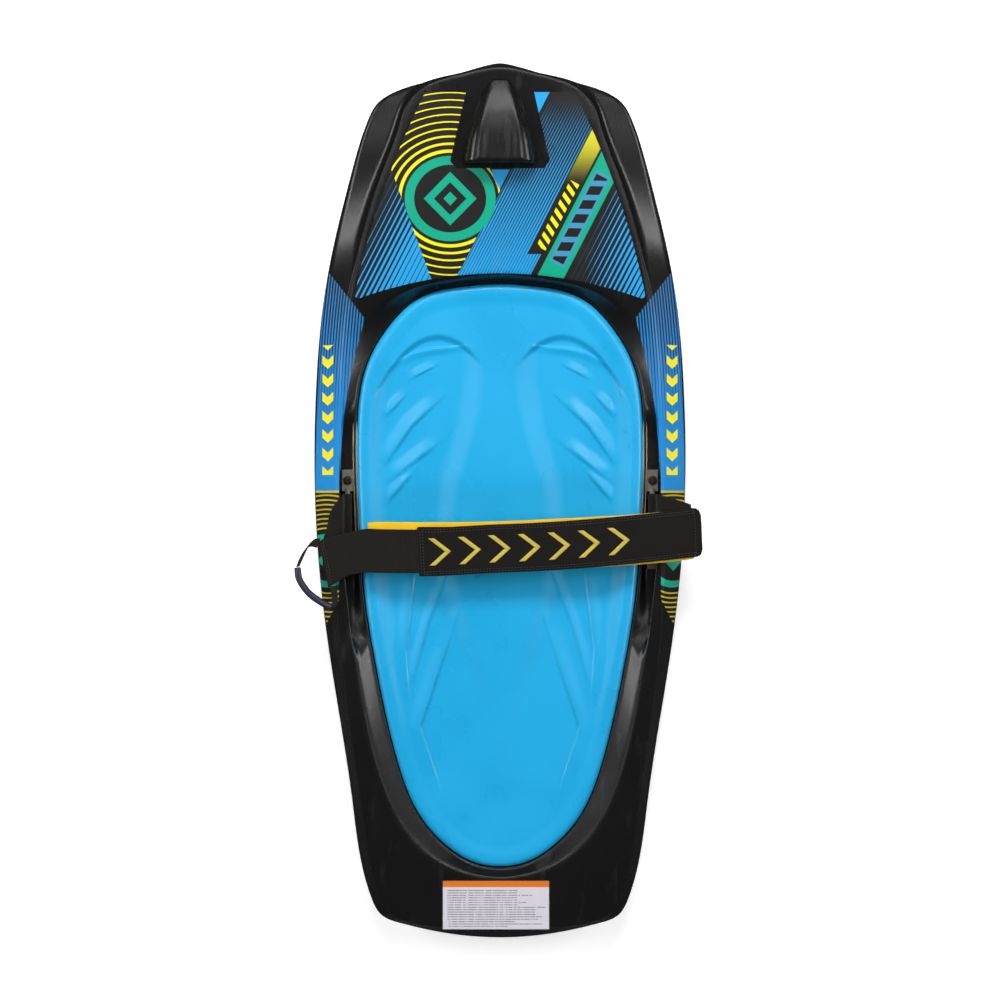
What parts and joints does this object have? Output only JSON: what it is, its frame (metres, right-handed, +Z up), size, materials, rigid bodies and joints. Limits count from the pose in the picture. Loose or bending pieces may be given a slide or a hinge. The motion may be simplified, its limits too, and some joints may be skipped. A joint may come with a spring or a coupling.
{
  "type": "kneeboard",
  "caption": "Towed kneeboard: foam-filled moulded plastic shell with a moulded nose hook, contoured foam knee pad and a padded strap that opens on hook and loop tape.",
  "frame": {"origin": "on the flat of the hull, on the centreline at mid-length", "axes": "+Z up out of the deck, +Y to the nose, +X to the rider's right when facing the nose"},
  "size_m": [0.606, 1.2961, 0.1458],
  "materials": {
    "shell_black": "satin black rotomoulded plastic, printed with graphics on the nose and sides",
    "foam_fill": "rigid pour-in foam, pale cream",
    "pad_blue": "moulded closed-cell foam with a soft satin skin, bright blue",
    "anchor_grey": "grey coated steel",
    "fastener_dark": "blackened stainless steel",
    "insert_brass": "turned brass",
    "webbing_black": "woven black webbing",
    "neoprene_yellow": "yellow neoprene foam with a knitted face",
    "thread_yellow": "raised satin-stitch thread, yellow",
    "tape_black": "black hook and loop tape",
    "grip_rubber": "dark grey soft tube",
    "plug_black": "black plastic plug",
    "label_white": "printed white label with an orange head band, no lettering"
  },
  "bodies": {
    "board": {"board_shell": "shell_black", "foam_core": "foam_fill", "foam_port_plug": "plug_black", "knee_pad": "pad_blue", "left_anchor_bar": "anchor_grey", "right_anchor_bar": "anchor_grey", "anchor_screws": "fastener_dark", "anchor_washers": "fastener_dark", "threaded_inserts": "insert_brass", "info_label": "label_white", "right_anchor_webbing": "webbing_black"},
    "strap": {"strap_pad": "neoprene_yellow", "strap_core": "webbing_black", "strap_cover": "webbing_black", "strap_embroidery": "thread_yellow"},
    "strap_tail": {"tail_webbing": "webbing_black", "tail_hook_tape": "tape_black"},
    "pull_loop": {"pull_cord": "webbing_black", "pull_tube": "grip_rubber"},
    "tab": {"anchor_tab": "webbing_black", "anchor_loop_tape": "tape_black"}
  },
  "joints": [
    {"name": "strap_swing", "type": "hinge", "parent": "board", "child": "strap", "pos_m": [0.29, -0.04, 0.0846], "axis": [-0.0489, 0.9988, 0], "range_deg": [0, 150]},
    {"name": "tail_peel", "type": "hinge", "parent": "strap", "child": "strap_tail", "pos_m": [-0.1255, -0.06032, 0.10145], "axis": [-0.0489, 0.9988, 0], "range_deg": [0, 120]},
    {"name": "pull_loop_swing", "type": "hinge", "parent": "strap_tail", "child": "pull_loop", "pos_m": [-0.259, -0.0925, 0.088], "axis": [-0.4527, 0.8917, 0], "range_deg": [0, 100]},
    {"name": "tab_swing", "type": "hinge", "parent": "board", "child": "tab", "pos_m": [-0.227, -0.024, 0.0596], "axis": [0, 1, 0], "range_deg": [0, 48]}
  ],
  "couplings": [
    {"joint": "tab_swing", "follows": "strap_swing", "ratio": 0.3}
  ]
}
